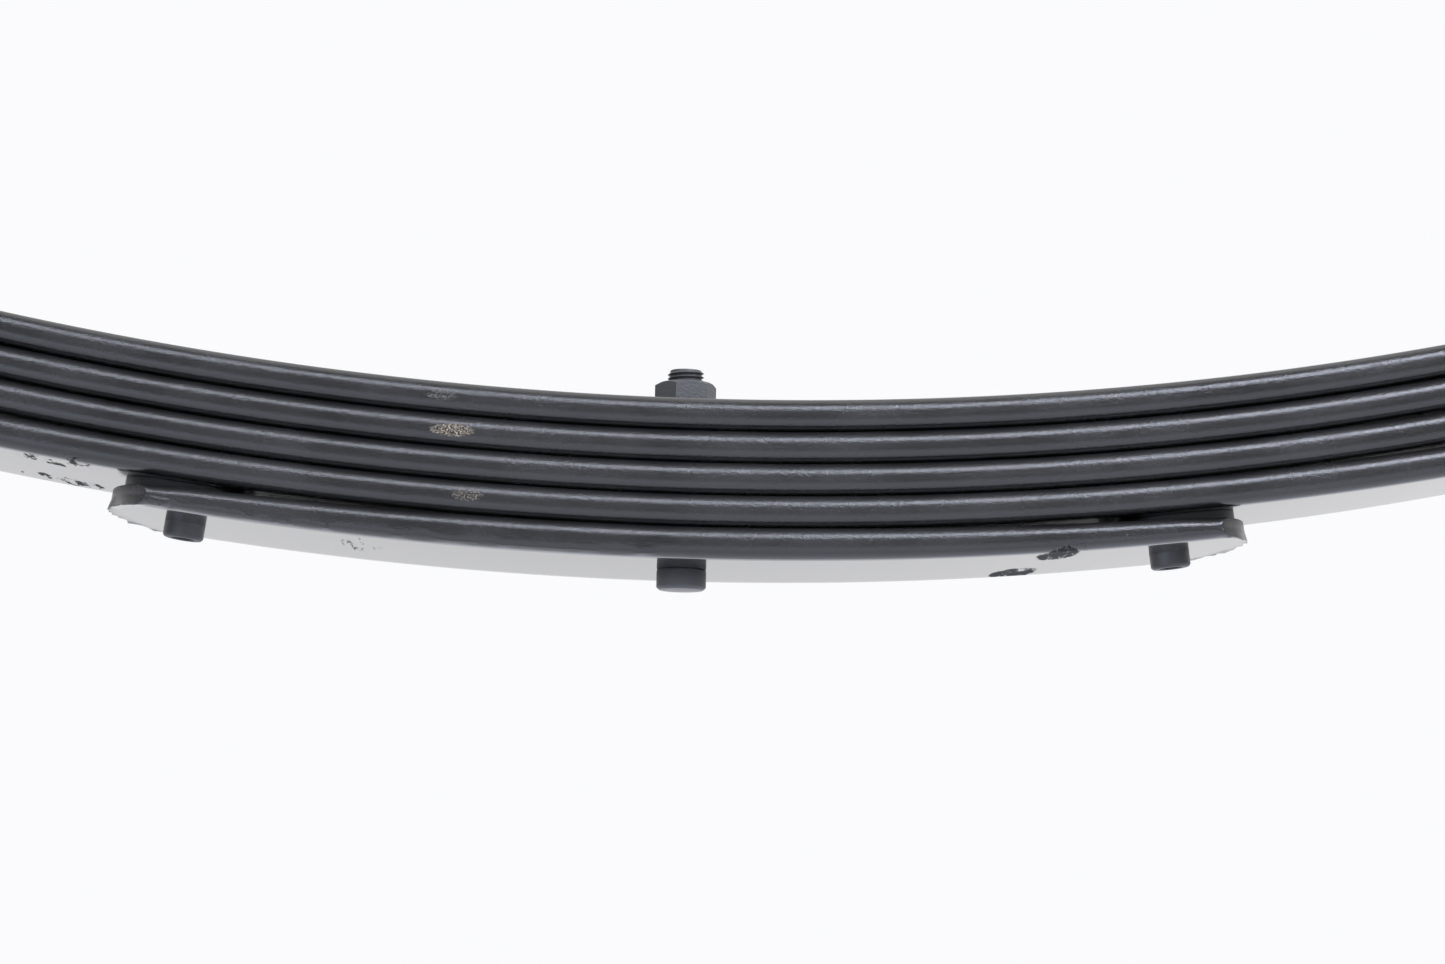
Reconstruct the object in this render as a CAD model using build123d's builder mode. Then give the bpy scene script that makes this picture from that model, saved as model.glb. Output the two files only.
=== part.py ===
from build123d import *
import os
from math import cos, degrees, pi, sin, tan

os.makedirs("parts", exist_ok=True)

# A five-leaf semi-elliptic spring in millimetres. X runs along the spring, +X to the rear eye, Y across
# the leaves and +Z up. The origin is on the centre bolt's axis, on the underside of the short leaf.

# Bar stock
width = 63.5  # 2 1/2 in bar
thickness = 8.2
edge_round = 2.4  # rolled edge of the bar
leaf_gap = 0.02  # paint film between the leaves at the centre bolt
pitch = thickness + leaf_gap

# Each leaf: name, radius of its underside, arc length from the bolt to its tip (or eye centre)
graduated = [
    ("short_leaf", 1014.0, 149.0),
    ("fourth_leaf", 1030.0, 268.0),
    ("third_leaf", 995.0, 388.0),
    ("second_leaf", 967.0, 498.0),
]
main_radius = 945.0
main_reach = 559.0  # 44 in spring, eye to eye along the main leaf

# Tips of the graduated leaves
taper_length = 129.0  # the last stretch, rolled thinner on its upper side
tip_set_back = 11.7  # corner of the rounded tip behind its crown
tip_crop = 3.0  # of bar beyond the crown, sheared off
stem_inset = 19.5  # liner stem from the crown of the tip

# Tip liner: a plate between two leaves, with a hollow stem down through the lower one
liner_length = 31.0
liner_width = 48.0
liner_corner = 12.0
liner_thickness = 2.0
stem_radius = 5.25
stem_bore_radius = 3.1
stem_proud = 4.0
stem_chamfer = 0.8
stem_play = 0.1

# Centre bolt and nut, 3/8 in
bolt_radius = 4.76
bolt_hole_radius = 5.1
bolt_head_radius = 6.5
bolt_head_height = 5.3
bolt_head_chamfer = 0.7
bolt_stub = 3.4  # thread standing proud of the nut
nut_across_flats = 14.29
nut_height = 8.3
nut_turn = 9.0  # degrees of yaw left by tightening
nut_lift = 0.03
thread_play = 0.03

# Eyes and their bushes
eye_radius = 19.0
eye_wrap = 305.0  # degrees of the curl
shell_wall = 1.5
shell_length = 63.5
rubber_length = 61.0
sleeve_radius = 10.3
sleeve_bore_radius = 7.15  # clears a 9/16 in pin
sleeve_length = 68.0
sleeve_play = 0.02

# Rebound clip: a strap riveted under the third leaf, with a bolt and spacer tube over the main leaf
clip_reach = 330.0  # arc length from the bolt
strap_length = 25.4
strap_thickness = 5.0
strap_inner_width = 65.0
strap_bend = 3.0
strap_height = 47.0
strap_top_round = 9.0
clip_bolt_height = 36.0
clip_bolt_radius = 3.97
clip_hole_radius = 4.2
tube_radius = 7.0
clip_hex_flats = 12.7
clip_head_height = 5.3
clip_nut_height = 6.8
clip_bolt_stub = 3.0
rivet_radius = 4.0
rivet_hole_radius = 4.1
rivet_head_radius = 7.5
rivet_head_height = 4.0
rivet_dome_radius = 2.8
rivet_sink_radius = 6.5
rivet_sink_depth = 2.5
rivet_grip = 7.3  # of the third leaf, below its thinned top


def on_arc(radius, low_point, angle):
    """A point, in X and Z, of an arc about the Z axis whose lowest point stands at low_point."""
    return (radius * sin(angle), low_point + radius * (1 - cos(angle)))


def leaf_plane(radius, low_point, angle):
    """A plane lying on an arc, its local X along the leaf and its local Z up out of it."""
    x, z = on_arc(radius, low_point, angle)
    return Plane(origin=(x, 0, z), x_dir=(cos(angle), 0, sin(angle)), z_dir=(-sin(angle), 0, cos(angle)))


def cross_plane(radius, low_point, angle):
    """A plane square to the leaf at that place, its local X across the leaf and its local Y up."""
    x, z = on_arc(radius, low_point, angle)
    return Plane(origin=(x, 0, z), x_dir=(0, 1, 0), z_dir=(cos(angle), 0, sin(angle)))


def side_plane(radius, low_point, angle, rise=0.0):
    """A plane along the leaf seen from the side, its local Y up, with its origin raised off the arc."""
    x, z = on_arc(radius, low_point, angle)
    origin = (x - rise * sin(angle), 0, z + rise * cos(angle))
    return Plane(origin=origin, x_dir=(cos(angle), 0, sin(angle)), z_dir=(0, -1, 0))


undersides = [radius for _, radius, _ in graduated] + [main_radius]


def opening(level, reach):
    """The gap between a leaf and the one above it, that far along, from their unequal curvature."""
    return leaf_gap + reach**2 / 2 * (1 / undersides[level + 1] - 1 / (undersides[level] - thickness))


def thinning(level, reach):
    """How much thinner the bar's end is, so that a liner just fills the gap above the stem."""
    stem_share = ((taper_length - stem_inset) / (taper_length + tip_crop)) ** 2
    return (liner_thickness - opening(level, reach - stem_inset)) / stem_share


sides = {"front": -1, "rear": 1}
third = 2
clip_angle = clip_reach / undersides[third]
clip_low_point = third * pitch

# The four graduated leaves: round-tipped bars with long tapers, holed for the bolt, liners and clips
for level, (name, radius, reach) in enumerate(graduated):
    low_point = level * pitch
    tip_angle = reach / radius
    end_angle = (reach + tip_crop) / radius
    taper_angle = (reach - taper_length) / radius
    stem_angle = (reach - stem_inset) / radius
    thin = thinning(level, reach)
    with BuildPart() as leaf:
        with BuildSketch(Plane.XZ):
            with BuildLine():
                top = ThreePointArc(
                    (0, low_point + thickness),
                    on_arc(radius - thickness, low_point + thickness, taper_angle / 2),
                    on_arc(radius - thickness, low_point + thickness, taper_angle),
                )
                end_top = on_arc(radius - thickness + thin, low_point + thickness - thin, end_angle)
                TangentArc(top @ 1, end_top, tangent=top % 1)
                Line(end_top, on_arc(radius, low_point, end_angle))
                ThreePointArc(
                    on_arc(radius, low_point, end_angle),
                    on_arc(radius, low_point, end_angle / 2),
                    (0, low_point),
                )
                mirror(about=Plane.YZ)
            make_face()
        extrude(amount=width / 2, both=True)
        long_edges = leaf.faces().filter_by(Axis.Y).edges().filter_by(lambda edge: edge.length > thickness)
        fillet(long_edges, edge_round)
        for side in sides.values():
            with BuildSketch(leaf_plane(radius, low_point, side * tip_angle)):
                with BuildLine():
                    corner = -side * tip_set_back
                    ThreePointArc((corner, -width / 2), (0, 0), (corner, width / 2))
                    Polyline(
                        (corner, width / 2),
                        (corner, width),
                        (side * tip_set_back, width),
                        (side * tip_set_back, -width),
                        (corner, -width),
                        (corner, -width / 2),
                    )
                make_face()
            extrude(amount=2 * thickness, both=True, mode=Mode.SUBTRACT)
            with BuildSketch(leaf_plane(radius, low_point, side * stem_angle)):
                Circle(stem_radius + stem_play)
            extrude(amount=2 * thickness, both=True, mode=Mode.SUBTRACT)
            if level == third:
                with BuildSketch(leaf_plane(radius, low_point, side * clip_angle)):
                    Circle(rivet_hole_radius)
                extrude(amount=2 * thickness, both=True, mode=Mode.SUBTRACT)
                sink_plane = leaf_plane(radius, low_point, side * clip_angle).offset(rivet_grip)
                with BuildSketch(sink_plane):
                    Circle(rivet_sink_radius + stem_play)
                extrude(amount=thickness, mode=Mode.SUBTRACT)
                with BuildSketch(sink_plane):
                    Circle(rivet_sink_radius + stem_play)
                with BuildSketch(sink_plane.offset(-rivet_sink_depth)):
                    Circle(rivet_hole_radius)
                loft(mode=Mode.SUBTRACT)
        with BuildSketch(Plane.XY.offset(low_point - thickness)):
            Circle(bolt_hole_radius)
        extrude(amount=3 * thickness, mode=Mode.SUBTRACT)
    leaf.part.label = name
    export_step(leaf.part, f"parts/{name}.step")

    # A liner at each tip: its plate fills the tapered gap and its hollow stem stands through the leaf
    for end, side in sides.items():
        with BuildPart() as liner:
            with BuildSketch(Plane.XZ):
                with BuildLine():
                    start = on_arc(radius - thickness, low_point + thickness, side * taper_angle)
                    end_top = on_arc(radius - thickness + thin, low_point + thickness - thin, side * end_angle)
                    roof_angles = (side * end_angle, side * (end_angle + taper_angle) / 2, side * taper_angle)
                    roof = [on_arc(undersides[level + 1], low_point + pitch, angle) for angle in roof_angles]
                    TangentArc(start, end_top, tangent=(side * cos(taper_angle), sin(taper_angle)))
                    Line(end_top, roof[0])
                    ThreePointArc(*roof)
                    Line(roof[2], start)
                make_face()
            extrude(amount=width / 2, both=True)
            stem_plane = leaf_plane(radius, low_point, side * stem_angle)
            with BuildSketch(stem_plane):
                RectangleRounded(liner_length, liner_width, liner_corner)
            extrude(amount=2 * thickness, mode=Mode.INTERSECT)
            with BuildSketch(stem_plane.offset(-stem_proud)):
                Circle(stem_radius)
            extrude(amount=stem_proud + thickness - thin / 2)
            rim = liner.faces().filter_by(GeomType.PLANE).sort_by(Axis.Z)[0].edges()
            chamfer(rim, stem_chamfer)
            with BuildSketch(stem_plane.offset(-stem_proud)):
                Circle(stem_bore_radius)
            extrude(amount=stem_proud + thickness / 2, mode=Mode.SUBTRACT)
        label = name.replace("leaf", "liner")
        liner.part.label = f"{end}_{label}"
        export_step(liner.part, f"parts/{end}_{label}.step")

# Main leaf: a full-length bar whose ends curl up and back into the eyes
main_level = len(graduated)
main_low_point = main_level * pitch
eye_angle = main_reach / (main_radius - thickness / 2)
eye_orbit = main_radius - thickness - eye_radius  # eye centre from the centre of the leaf's arc
eye_x, eye_z = on_arc(eye_orbit, main_low_point + thickness + eye_radius, eye_angle)
with BuildPart() as main_leaf:
    with BuildSketch(Plane.XZ):
        with BuildLine():
            ThreePointArc(
                (0, main_low_point),
                on_arc(main_radius, main_low_point, eye_angle / 2),
                on_arc(main_radius, main_low_point, eye_angle),
            )
            curl_start = degrees(eye_angle) - 90
            outer = CenterArc((eye_x, eye_z), eye_radius + thickness, curl_start, eye_wrap)
            inner = CenterArc((eye_x, eye_z), eye_radius, curl_start, eye_wrap)
            Line(outer @ 1, inner @ 1)
            ThreePointArc(
                inner @ 0,
                on_arc(main_radius - thickness, main_low_point + thickness, eye_angle / 2),
                (0, main_low_point + thickness),
            )
            mirror(about=Plane.YZ)
        make_face()
    extrude(amount=width / 2, both=True)
    bar_edges = main_leaf.faces().filter_by(Axis.Y).edges().filter_by(lambda edge: edge.length > 2 * thickness)
    fillet(bar_edges, edge_round)
    with BuildSketch(Plane.XY.offset(main_low_point - thickness)):
        Circle(bolt_hole_radius)
    extrude(amount=3 * thickness, mode=Mode.SUBTRACT)
main_leaf.part.label = "main_leaf"
export_step(main_leaf.part, "parts/main_leaf.step")

# Centre bolt: a round head, which locates the spring in its seat, and a shank up through every leaf
pack_top = main_low_point + thickness
with BuildPart() as centre_bolt:
    with BuildSketch(Plane.XY.offset(-bolt_head_height)):
        Circle(bolt_head_radius)
    extrude(amount=bolt_head_height)
    chamfer(centre_bolt.faces().sort_by(Axis.Z)[0].edges(), bolt_head_chamfer)
    with BuildSketch(Plane.XY):
        Circle(bolt_radius)
    extrude(amount=pack_top + nut_lift + nut_height + bolt_stub)
    chamfer(centre_bolt.faces().sort_by(Axis.Z)[-1].edges(), bolt_head_chamfer)
centre_bolt.part.label = "centre_bolt"
export_step(centre_bolt.part, "parts/centre_bolt.step")

# Centre nut: a hexagon whose corners are turned off at 30 degrees on both faces
nut_low = pack_top + nut_lift
nut_high = nut_low + nut_height
corner_radius = nut_across_flats / 2 / cos(pi / 6)
face_radius = nut_across_flats / 2
bevel_drop = (corner_radius - face_radius) * tan(pi / 6)
with BuildPart() as centre_nut:
    with BuildSketch(Plane.XY.offset(nut_low)):
        RegularPolygon(face_radius, 6, major_radius=False, rotation=30 + nut_turn)
    extrude(amount=nut_height)
    with BuildSketch(Plane.XZ):
        with BuildLine():
            Polyline(
                (0, nut_low),
                (face_radius, nut_low),
                (corner_radius, nut_low + bevel_drop),
                (corner_radius, nut_high - bevel_drop),
                (face_radius, nut_high),
                (0, nut_high),
                close=True,
            )
        make_face()
    revolve(axis=Axis.Z, mode=Mode.INTERSECT)
    with BuildSketch(Plane.XY.offset(nut_low)):
        Circle(bolt_radius + thread_play)
    extrude(amount=nut_height, mode=Mode.SUBTRACT)
centre_nut.part.label = "centre_nut"
export_step(centre_nut.part, "parts/centre_nut.step")

# Eye bushes and rebound clips, one set at each end
for end, side in sides.items():
    eye_plane = Plane(origin=(side * eye_x, 0, eye_z), x_dir=(1, 0, 0), z_dir=(0, -1, 0))
    rings = {
        "bush_shell": (eye_radius, eye_radius - shell_wall, shell_length),
        "bush_rubber": (eye_radius - shell_wall, sleeve_radius + sleeve_play, rubber_length),
        "bush_sleeve": (sleeve_radius, sleeve_bore_radius, sleeve_length),
    }
    for ring_name, (outside, inside, length) in rings.items():
        with BuildPart() as ring:
            with BuildSketch(eye_plane):
                Circle(outside)
                Circle(inside, mode=Mode.SUBTRACT)
            extrude(amount=length / 2, both=True)
        ring.part.label = f"{end}_{ring_name}"
        export_step(ring.part, f"parts/{end}_{ring_name}.step")

    # Strap: a flat bar bent into a U around the leaves
    angle = side * clip_angle
    seat = leaf_plane(undersides[third], clip_low_point, angle)
    pin_plane = side_plane(undersides[third], clip_low_point, angle, clip_bolt_height)
    with BuildPart() as clip_strap:
        with BuildSketch(cross_plane(undersides[third], clip_low_point, angle)):
            with BuildLine():
                FilletPolyline(
                    (-strap_inner_width / 2, strap_height),
                    (-strap_inner_width / 2, 0),
                    (strap_inner_width / 2, 0),
                    (strap_inner_width / 2, strap_height),
                    radius=strap_bend,
                )
                offset(amount=strap_thickness, side=Side.RIGHT)
            make_face()
        extrude(amount=strap_length / 2, both=True)
        ends = clip_strap.faces().filter_by(lambda face: face.normal_at().dot(seat.z_dir) > 0.99)
        corners = ends.sort_by(SortBy.AREA)[:2].edges().filter_by(Axis.Y)
        fillet(corners, strap_top_round)
        with BuildSketch(pin_plane):
            Circle(clip_hole_radius)
        extrude(amount=width, both=True, mode=Mode.SUBTRACT)
        with BuildSketch(seat):
            Circle(rivet_hole_radius)
        extrude(amount=2 * strap_thickness, both=True, mode=Mode.SUBTRACT)
    clip_strap.part.label = f"{end}_clip_strap"
    export_step(clip_strap.part, f"parts/{end}_clip_strap.step")

    # Rivet: domed under the strap, with its other end set flush in the third leaf
    with BuildPart() as clip_rivet:
        with BuildSketch(seat.offset(-strap_thickness - rivet_head_height)):
            Circle(rivet_head_radius)
        extrude(amount=rivet_head_height)
        dome_edge = clip_rivet.faces().sort_by(Axis(seat.origin, seat.z_dir))[0].edges()
        fillet(dome_edge, rivet_dome_radius)
        with BuildSketch(seat.offset(-strap_thickness)):
            Circle(rivet_radius)
        extrude(amount=strap_thickness + rivet_grip)
        with BuildSketch(seat.offset(rivet_grip)):
            Circle(rivet_sink_radius)
        with BuildSketch(seat.offset(rivet_grip - rivet_sink_depth)):
            Circle(rivet_radius)
        loft()
    clip_rivet.part.label = f"{end}_clip_rivet"
    export_step(clip_rivet.part, f"parts/{end}_clip_rivet.step")

    with BuildPart() as clip_tube:
        with BuildSketch(pin_plane):
            Circle(tube_radius)
            Circle(clip_hole_radius, mode=Mode.SUBTRACT)
        extrude(amount=strap_inner_width / 2, both=True)
    clip_tube.part.label = f"{end}_clip_tube"
    export_step(clip_tube.part, f"parts/{end}_clip_tube.step")

    # Clip bolt and nut: the bolt's head stands on the +Y arm and its nut on the -Y arm
    arm_face = strap_inner_width / 2 + strap_thickness
    with BuildPart() as clip_bolt:
        with BuildSketch(pin_plane.offset(-arm_face - clip_head_height)):
            RegularPolygon(clip_hex_flats / 2, 6, major_radius=False)
        extrude(amount=clip_head_height)
        with BuildSketch(pin_plane.offset(-arm_face)):
            Circle(clip_bolt_radius)
        extrude(amount=2 * arm_face + clip_nut_height + clip_bolt_stub)
    clip_bolt.part.label = f"{end}_clip_bolt"
    export_step(clip_bolt.part, f"parts/{end}_clip_bolt.step")

    with BuildPart() as clip_nut:
        with BuildSketch(pin_plane.offset(arm_face)):
            RegularPolygon(clip_hex_flats / 2, 6, major_radius=False)
            Circle(clip_bolt_radius + thread_play, mode=Mode.SUBTRACT)
        extrude(amount=clip_nut_height)
    clip_nut.part.label = f"{end}_clip_nut"
    export_step(clip_nut.part, f"parts/{end}_clip_nut.step")
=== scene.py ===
"""A five-leaf semi-elliptic spring with tip liners, eye bushes and rebound clips.

Shapes are worked in millimetres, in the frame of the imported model, and become metres when a piece
is finished.
"""

import logging
import math
from collections.abc import Callable, Sequence
from dataclasses import dataclass
from enum import Enum
from functools import cache

import bmesh
import bpy
from mathutils import Matrix, Vector, noise


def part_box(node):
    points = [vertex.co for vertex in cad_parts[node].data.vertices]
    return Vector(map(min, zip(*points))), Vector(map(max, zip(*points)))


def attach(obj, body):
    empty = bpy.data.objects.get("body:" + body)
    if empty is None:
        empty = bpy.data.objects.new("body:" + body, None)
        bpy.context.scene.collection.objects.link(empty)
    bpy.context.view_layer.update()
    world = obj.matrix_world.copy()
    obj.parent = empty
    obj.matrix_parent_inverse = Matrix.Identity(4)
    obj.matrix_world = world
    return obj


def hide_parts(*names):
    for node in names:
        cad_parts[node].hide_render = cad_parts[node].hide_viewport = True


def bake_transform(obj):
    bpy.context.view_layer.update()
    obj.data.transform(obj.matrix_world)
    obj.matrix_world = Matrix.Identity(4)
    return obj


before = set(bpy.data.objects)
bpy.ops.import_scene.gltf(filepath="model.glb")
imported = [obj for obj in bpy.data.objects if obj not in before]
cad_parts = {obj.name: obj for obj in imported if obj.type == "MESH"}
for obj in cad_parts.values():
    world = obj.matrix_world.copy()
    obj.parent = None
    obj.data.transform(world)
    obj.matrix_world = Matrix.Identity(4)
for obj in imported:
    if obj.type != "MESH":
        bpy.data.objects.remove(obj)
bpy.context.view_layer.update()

logging.basicConfig(level=logging.INFO, format="%(message)s")
log = logging.getLogger("leaf_spring")

MM = 0.001
PACK_BODY = "leaf_pack"
# Degrees between faces above which an edge stays sharp
BAR_CREASE = 32.0
THREAD_CREASE = 28.0
HEXAGON_CREASE = 14.0
ROUND_CREASE = 50.0

Point = tuple[float, float, float]


class End(Enum):
    """An end of the spring."""

    FRONT = "front"
    REAR = "rear"

    @property
    def sign(self) -> int:
        """Which way along X this end lies."""
        return -1 if self is End.FRONT else 1

    @property
    def half(self) -> str:
        """The body that carries this end of the spring."""
        return f"{self.value}_half"


class Slot(Enum):
    """Names of the spring's material slots; no piece is given one."""

    LEAF = "leaf_paint"
    FASTENER = "fastener_paint"
    LINER = "liner_plastic"
    CLIP = "clip_paint"
    CLIP_FASTENER = "clip_fastener"
    SHELL = "shell_steel"
    RUBBER = "bush_rubber"
    SLEEVE = "sleeve_zinc"


# ---------------------------------------------------------------- shaping


@dataclass(frozen=True)
class Track:
    """The line that a straight bar is bent to, in a flat plane.

    Attributes:
        start: where the line starts, along and up.
        heading: its first direction in radians, 0 along and positive upwards.
        runs: length and curvature of each run. The last one goes on for ever.
    """

    start: tuple[float, float]
    heading: float
    runs: tuple[tuple[float, float], ...]

    def at(self, travel: float) -> Point:
        """Follows the line.

        Args:
            travel: distance from the start, which may be negative.

        Returns:
            The place along, the place up and the heading there.
        """
        (along, up), heading = self.start, self.heading
        for index, (length, bend) in enumerate(self.runs):
            step = travel if index == len(self.runs) - 1 else min(travel, length)
            turned = heading + step * bend
            if bend:
                along += (math.sin(turned) - math.sin(heading)) / bend
                up += (math.cos(heading) - math.cos(turned)) / bend
            else:
                along += step * math.cos(heading)
                up += step * math.sin(heading)
            heading = turned
            travel -= step
            if travel <= 0:
                break
        return along, up, heading

    def bend(self, bm: bmesh.types.BMesh) -> None:
        """Bends a mesh that lies straight along X so that its underside follows the line."""
        for vert in bm.verts:
            along, up, heading = self.at(vert.co.x)
            rise = vert.co.z
            vert.co.x = along - math.sin(heading) * rise
            vert.co.z = up + math.cos(heading) * rise

    def frame_at(self, travel: float, side: int = 1) -> Matrix:
        """A frame on the line: X along it, Y across and Z out of it, mirrored along X if side is -1."""
        along, up, heading = self.at(travel)
        turn = Matrix.Rotation(-heading * side, 4, "Y")
        return Matrix.Translation((along * side, 0.0, up)) @ turn


def smooth_step(value: float) -> float:
    """Eases a share from 0 to 1."""
    share = min(max(value, 0.0), 1.0)
    return share * share * (3.0 - 2.0 * share)


def cut(bm: bmesh.types.BMesh, place: Point, normal: Point, clear: bool = False) -> None:
    """Cuts every face that a plane crosses, and with clear removes what lies beyond it."""
    geometry = bm.verts[:] + bm.edges[:] + bm.faces[:]
    bmesh.ops.bisect_plane(
        bm, geom=geometry, dist=1e-4, plane_co=place, plane_no=normal, clear_outer=clear
    )


def edges_where(
    bm: bmesh.types.BMesh, test: Callable[[bmesh.types.BMEdge], bool]
) -> list[bmesh.types.BMEdge]:
    """The edges that pass a test."""
    return [edge for edge in bm.edges if test(edge)]


def round_edges(bm: bmesh.types.BMesh, edges: list[bmesh.types.BMEdge], radius: float, steps: int) -> None:
    """Rounds edges to a radius in a number of steps."""
    bmesh.ops.bevel(
        bm, geom=edges, offset=radius, offset_type="OFFSET", segments=steps, profile=0.5,
        affect="EDGES", material=-1, clamp_overlap=True,
    )


@dataclass(frozen=True)
class Bar:
    """Rolled flat bar with rounded edges, lying straight along X with its underside on Z 0.

    Attributes:
        length: from its start, at X 0, to its end.
        width: across, along Y.
        thickness: up, along Z.
        edge_round: radius of its four long edges.
        edge_steps: facets in each rounded edge.
        rows: how many strips its sides are cut in.
        columns: how many strips its faces are cut in.
        station: spacing of its cross-sections.
        end_round: radius of the edge round its far end.
        belly: how far its sides swell at half height.
    """

    length: float
    width: float
    thickness: float
    edge_round: float
    edge_steps: int = 6
    rows: int = 4
    columns: int = 1
    station: float = 2.4
    end_round: float = 0.5
    belly: float = 0.0

    def build(self) -> bmesh.types.BMesh:
        """Makes the bar.

        Returns:
            The bar's mesh, in millimetres.
        """
        bm = bmesh.new()
        bmesh.ops.create_cube(bm, size=1.0)
        bmesh.ops.scale(bm, vec=(self.length, self.width, self.thickness), verts=bm.verts)
        bmesh.ops.translate(bm, vec=(self.length / 2, 0.0, self.thickness / 2), verts=bm.verts)
        long_edges = edges_where(bm, lambda e: abs(e.verts[0].co.x - e.verts[1].co.x) > 1e-3)
        round_edges(bm, long_edges, self.edge_round, self.edge_steps)
        for row in range(1, self.rows):
            flat = self.thickness - 2 * self.edge_round
            cut(bm, (0.0, 0.0, self.edge_round + flat * row / self.rows), (0.0, 0.0, 1.0))
        for column in range(1, self.columns):
            flat = self.width - 2 * self.edge_round
            cut(bm, (0.0, -flat / 2 + flat * column / self.columns, 0.0), (0.0, 1.0, 0.0))
        if self.end_round:
            rim = edges_where(bm, lambda e: self._on_end_rim(e))
            round_edges(bm, rim, self.end_round, 3)
        long_edges = edges_where(
            bm, lambda e: abs(e.verts[0].co.x - e.verts[1].co.x) > self.length * 0.8
        )
        cuts = round(self.length / self.station) - 1
        bmesh.ops.subdivide_edges(bm, edges=long_edges, cuts=cuts, use_grid_fill=True)
        self._swell(bm)
        return bm

    def _on_end_rim(self, edge: bmesh.types.BMEdge) -> bool:
        """Whether an edge lies between the far end and the bar's long faces."""
        at_end = all(abs(v.co.x - self.length) < 1e-3 for v in edge.verts)
        return at_end and edge.calc_face_angle(0.0) > 1.0

    def _swell(self, bm: bmesh.types.BMesh) -> None:
        """Swells the sides, most at half height."""
        for vert in bm.verts:
            if abs(vert.co.y) > self.width / 2 - self.edge_round:
                height = 2 * vert.co.z / self.thickness - 1
                vert.co.y += math.copysign(self.belly * (1 - height * height), vert.co.y)


def combine(bm: bmesh.types.BMesh, tool: bmesh.types.BMesh, operation: str) -> bmesh.types.BMesh:
    """Cuts one closed mesh out of another, or joins them as one solid.

    Args:
        bm: the mesh to change. It is used up.
        tool: the other mesh. It is used up.
        operation: DIFFERENCE or UNION.

    Returns:
        The new mesh.
    """
    made = []
    for source in (bm, tool):
        bmesh.ops.recalc_face_normals(source, faces=source.faces)
        mesh = bpy.data.meshes.new("work")
        source.to_mesh(mesh)
        source.free()
        holder = bpy.data.objects.new("work", mesh)
        bpy.context.scene.collection.objects.link(holder)
        made.append(holder)
    change = made[0].modifiers.new("combine", "BOOLEAN")
    change.object, change.operation, change.solver = made[1], operation, "EXACT"
    result = bmesh.new()
    result.from_object(made[0], bpy.context.evaluated_depsgraph_get())
    for holder in made:
        mesh = holder.data
        bpy.data.objects.remove(holder)
        bpy.data.meshes.remove(mesh)
    return result


def turned(profile: Sequence[tuple[float, float]], ring: bool = False, steps: int = 64) -> bmesh.types.BMesh:
    """Turns a profile about the Z axis.

    Args:
        profile: radius and height of each point. A solid one starts and ends on the axis.
        ring: whether the profile is a closed loop that stays off the axis.
        steps: facets round the turn.

    Returns:
        The turned mesh.
    """
    bm = bmesh.new()
    verts = [bm.verts.new((radius, 0.0, height)) for radius, height in profile]
    edges = [bm.edges.new(pair) for pair in zip(verts, verts[1:])]
    if ring:
        edges.append(bm.edges.new((verts[-1], verts[0])))
    bmesh.ops.spin(
        bm, geom=verts + edges, cent=(0.0, 0.0, 0.0), axis=(0.0, 0.0, 1.0), angle=2 * math.pi,
        steps=steps, use_merge=True,
    )
    bmesh.ops.remove_doubles(bm, verts=bm.verts, dist=1e-3)
    bmesh.ops.recalc_face_normals(bm, faces=bm.faces)
    return bm


def drilled(bm: bmesh.types.BMesh, holes: Sequence[Point], depth: float) -> bmesh.types.BMesh:
    """Drills holes down through a straight bar.

    Args:
        bm: the bar. It is used up.
        holes: place along, place across and radius of each hole.
        depth: thickness to clear.

    Returns:
        The bar with its holes.
    """
    for along, across, radius in holes:
        drill = turned([(0.0, -depth), (radius, -depth), (radius, 2 * depth), (0.0, 2 * depth)], steps=48)
        bmesh.ops.translate(drill, vec=(along, across, 0.0), verts=drill.verts)
        bm = combine(bm, drill, "DIFFERENCE")
    return bm


def add_to(bm: bmesh.types.BMesh, other: bmesh.types.BMesh) -> None:
    """Adds one mesh to another as a further closed shell, and uses it up."""
    mesh = bpy.data.meshes.new("work")
    other.to_mesh(mesh)
    other.free()
    bm.from_mesh(mesh)
    bpy.data.meshes.remove(mesh)


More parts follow.
